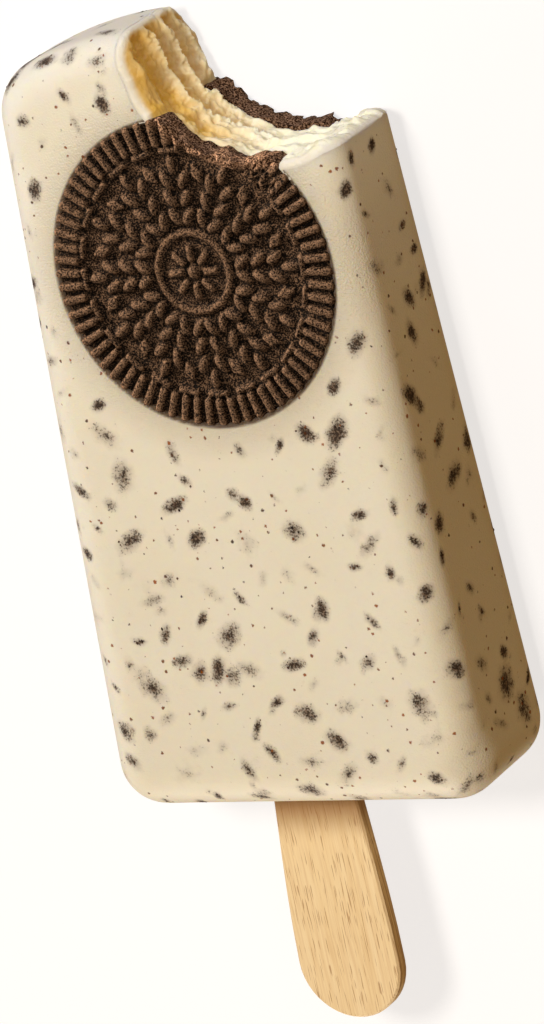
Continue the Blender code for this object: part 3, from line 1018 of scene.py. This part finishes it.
def cocoa_biscuit():
    material, tree, shader = new_material("baked_cocoa_biscuit", Roughness=0.75)
    shader.inputs["Specular IOR Level"].default_value = 0.03
    place = add_node(tree, "ShaderNodeTexCoord").outputs["Object"]
    relief_shade_and_highlight = add_node(tree, "ShaderNodeAttribute", attribute_name="relief_shade_and_highlight").outputs["Fac"]
    snapped_edge = add_node(tree, "ShaderNodeAttribute", attribute_name="snapped").outputs["Fac"]
    grain = add_node(tree, "ShaderNodeTexNoise", {"Vector": place, "Scale": 1 / (0.19 * MM), "Detail": 1.0})
    dust = add_node(tree, "ShaderNodeMapRange", {0: grain.outputs[0], 1: 0.36, 2: 0.64}).outputs[0]
    # Painted shade and highlight: the relief field darkens the colour in the grooves and lightens it on
    # raised parts and edges, on top of the grain.
    grain_with_painted_relief_light = add_node(tree, "ShaderNodeMath", {0: relief_shade_and_highlight, 1: 4.0, 2: dust}, operation="MULTIPLY_ADD").outputs[0]
    share = add_node(tree, "ShaderNodeMapRange", {0: grain_with_painted_relief_light, 1: 0.3, 2: 1.9}).outputs[0]
    looks = add_node(tree, "ShaderNodeMix", {0: share, 6: linear("#0A0705"), 7: linear("#82664F")},
                     data_type="RGBA").outputs[2]
    crumb = add_node(tree, "ShaderNodeTexNoise", {"Vector": place, "Scale": 1 / (0.22 * MM), "Detail": 2.0})
    shade = add_node(tree, "ShaderNodeMapRange", {0: crumb.outputs[0], 1: 0.42, 2: 0.66}).outputs[0]
    inner = add_node(tree, "ShaderNodeMix", {0: shade, 6: linear("#22140C"), 7: linear("#9C7A60")},
                     data_type="RGBA").outputs[2]
    looks = add_node(tree, "ShaderNodeMix", {0: snapped_edge, 6: looks, 7: inner},
                     data_type="RGBA").outputs[2]
    tree.links.new(looks, shader.inputs["Base Color"])
    bump = add_node(tree, "ShaderNodeBump", {"Height": grain.outputs[0], "Distance": 0.14 * MM,
                                             "Strength": 1.0})
    tree.links.new(bump.outputs[0], shader.inputs["Normal"])
    return material


def loose_crumb():
    material, tree, shader = new_material("loose_biscuit_crumb", Roughness=0.7)
    shader.inputs["Specular IOR Level"].default_value = 0.3
    place = add_node(tree, "ShaderNodeTexCoord").outputs["Object"]
    grain = add_node(tree, "ShaderNodeTexNoise", {"Vector": place, "Scale": 1 / (0.2 * MM), "Detail": 2.0})
    kind = add_node(tree, "ShaderNodeTexNoise", {"Vector": place, "Scale": 1 / (1.5 * MM), "Detail": 0.0})
    both = add_node(tree, "ShaderNodeMath", {0: grain.outputs[0], 1: kind.outputs[0]}, operation="ADD")
    share = add_node(tree, "ShaderNodeMapRange", {0: both.outputs[0], 1: 0.8, 2: 1.3}).outputs[0]
    looks = add_node(tree, "ShaderNodeMix", {0: share, 6: linear("#20140C"), 7: linear("#5E4432")},
                     data_type="RGBA").outputs[2]
    tree.links.new(looks, shader.inputs["Base Color"])
    bump = add_node(tree, "ShaderNodeBump", {"Height": grain.outputs[0], "Distance": 0.2 * MM})
    tree.links.new(bump.outputs[0], shader.inputs["Normal"])
    return material


for piece in (biscuit_front, biscuit_back):
    store(piece, "snapped", break_field(piece))
    store(piece, "relief_shade_and_highlight", relief_shade_and_highlight_field(piece))


# %% [markdown]
# ## The stick's finish
#
# Ice cream sticks are cut from beech veneer. Beech shows short dark flecks along the grain and faint
# broader bands. Where it leaves the bar, the wood's colour is darkened with painted shade of the bar.

# %% Beech
def beech():
    material, tree, shader = new_material("cut_beech_veneer", Roughness=0.6)
    place = add_node(tree, "ShaderNodeTexCoord").outputs["Object"]
    lengthwise = add_node(tree, "ShaderNodeMapping", {"Vector": place, "Scale": (1.0, 0.025, 1.0)}).outputs[0]
    bands = add_node(tree, "ShaderNodeTexNoise", {"Vector": lengthwise, "Scale": 1 / (1.1 * MM),
                                                  "Detail": 4.0})
    band = add_node(tree, "ShaderNodeMapRange", {0: bands.outputs[0], 1: 0.35, 2: 0.65}).outputs[0]
    looks = add_node(tree, "ShaderNodeMix", {0: band, 6: linear("#F9E2B4"), 7: linear("#F4DAA8")},
                     data_type="RGBA").outputs[2]
    streaks = add_node(tree, "ShaderNodeTexNoise", {"Vector": lengthwise, "Scale": 1 / (0.25 * MM)})
    streak = add_node(tree, "ShaderNodeMapRange", {0: streaks.outputs[0], 1: 0.4, 2: 0.7, 3: 0.0, 4: 0.3})
    looks = add_node(tree, "ShaderNodeMix", {0: streak.outputs[0], 6: looks, 7: linear("#C99A5E")},
                     data_type="RGBA").outputs[2]
    short = add_node(tree, "ShaderNodeMapping", {"Vector": place, "Scale": (1.0, 0.035, 1.0)}).outputs[0]
    flecks = add_node(tree, "ShaderNodeTexNoise", {"Vector": short, "Scale": 1 / (0.12 * MM), "Detail": 0.0})
    fleck = add_node(tree, "ShaderNodeMapRange", {0: flecks.outputs[0], 1: 0.66, 2: 0.73, 3: 0.0, 4: 0.6})
    looks = add_node(tree, "ShaderNodeMix", {0: fleck.outputs[0], 6: looks, 7: linear("#96602C")},
                     data_type="RGBA").outputs[2]

    # On the cut edge the layers of the veneer show as darker lines.
    layers = add_node(tree, "ShaderNodeMapping", {"Vector": place, "Scale": (0.05, 0.01, 1.0)}).outputs[0]
    layer = add_node(tree, "ShaderNodeTexNoise", {"Vector": layers, "Scale": 1 / (0.45 * MM), "Detail": 2.0})
    line = add_node(tree, "ShaderNodeMapRange", {0: layer.outputs[0], 1: 0.45, 2: 0.62, 3: 0.0, 4: 0.5})
    sides = add_node(tree, "ShaderNodeSeparateXYZ", {0: add_node(
        tree, "ShaderNodeNewGeometry").outputs["True Normal"]}).outputs["Z"]
    flat = add_node(tree, "ShaderNodeMath", {0: sides}, operation="ABSOLUTE").outputs[0]
    cut_edge = add_node(tree, "ShaderNodeMapRange", {0: flat, 1: 0.3, 2: 0.8, 3: 1.0, 4: 0.0}).outputs[0]
    lined = add_node(tree, "ShaderNodeMath", {0: cut_edge, 1: line.outputs[0]}, operation="MULTIPLY")
    looks = add_node(tree, "ShaderNodeMix", {0: lined.outputs[0], 6: looks, 7: linear("#8A5526")},
                     data_type="RGBA").outputs[2]

    # Painted shade: the colour darkens toward the bar, where the bar's foot shades the wood.
    along = add_node(tree, "ShaderNodeSeparateXYZ", {0: place}).outputs["Y"]
    painted_bar_shade = add_node(tree, "ShaderNodeMapRange", {0: along, 1: FOOT_Y - 7.5 * MM, 2: FOOT_Y - 2.2 * MM, 3: 0.0,
                                                 4: 0.8}, interpolation_type="SMOOTHSTEP").outputs[0]
    looks = add_node(tree, "ShaderNodeMix", {0: painted_bar_shade, 6: looks, 7: linear("#8A5A22")},
                     data_type="RGBA").outputs[2]
    tree.links.new(looks, shader.inputs["Base Color"])
    bump = add_node(tree, "ShaderNodeBump", {"Height": flecks.outputs[0], "Distance": 0.05 * MM,
                                             "Strength": 0.4})
    tree.links.new(bump.outputs[0], shader.inputs["Normal"])
    return material


# %% Dressing every piece
cocoa = cocoa_biscuit()
for piece, material in ((coating, white_chocolate()), (ice_cream, vanilla()), (biscuit_front, cocoa),
                        (biscuit_back, cocoa), (crumbs, loose_crumb())):
    piece.data.materials.clear()
    piece.data.materials.append(material)
    select_only(piece)
    bpy.ops.object.shade_smooth()
    piece.data.set_sharp_from_angle(angle=math.radians(60))
    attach(piece, "root")
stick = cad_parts["stick"]
stick = stick if hasattr(stick, "material_slots") else bpy.data.objects["stick"]
stick.material_slots[0].material = beech()

lit = bpy.data.collections.new("lit_by_biscuit_light")
for piece in (biscuit_front, biscuit_back):
    lit.objects.link(piece)
biscuit_light.light_linking.receiver_collection = lit

for piece, node, slot in ((coating, "coating", "coating"), (ice_cream, "ice_cream", "ice_cream"),
                          (biscuit_front, "biscuit_front", "biscuit"),
                          (biscuit_back, "biscuit_back", "biscuit")):
    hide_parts(node)
